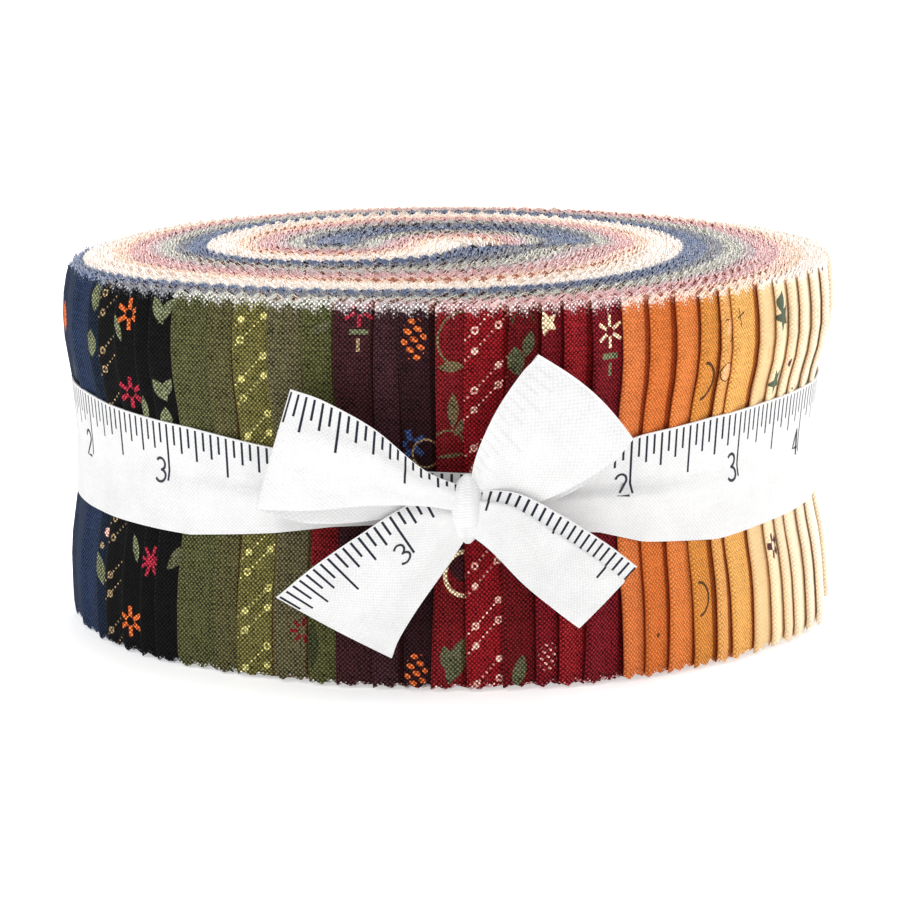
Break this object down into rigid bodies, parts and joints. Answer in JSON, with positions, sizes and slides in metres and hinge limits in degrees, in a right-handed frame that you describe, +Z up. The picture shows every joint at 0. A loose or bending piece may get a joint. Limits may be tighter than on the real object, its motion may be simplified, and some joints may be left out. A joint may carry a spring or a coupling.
{
  "type": "tied roll of fabric strips",
  "caption": "Round roll of folded cotton strips wound into a flat spiral, standing on its edge and tied round the middle with a printed ribbon bow.",
  "frame": {"origin": "under the middle of the part's box, on the surface that the roll stands on", "axes": "+Z up, along the strips' width; the bow is at the front, towards -Y; +X to the right seen from the front"},
  "size_m": [0.1362, 0.138, 0.0653],
  "materials": {
    "printed_cotton": "matt plain-weave cotton, printed, with pinked and frayed cut edges, in navy, black, green, purple, red, orange, gold and cream",
    "printed_ribbon": "white cotton tape ribbon, printed with plain ruler marks"
  },
  "bodies": {
    "root": {"strip_roll": "printed_cotton", "ribbon_tie": "printed_ribbon"}
  },
  "joints": []
}
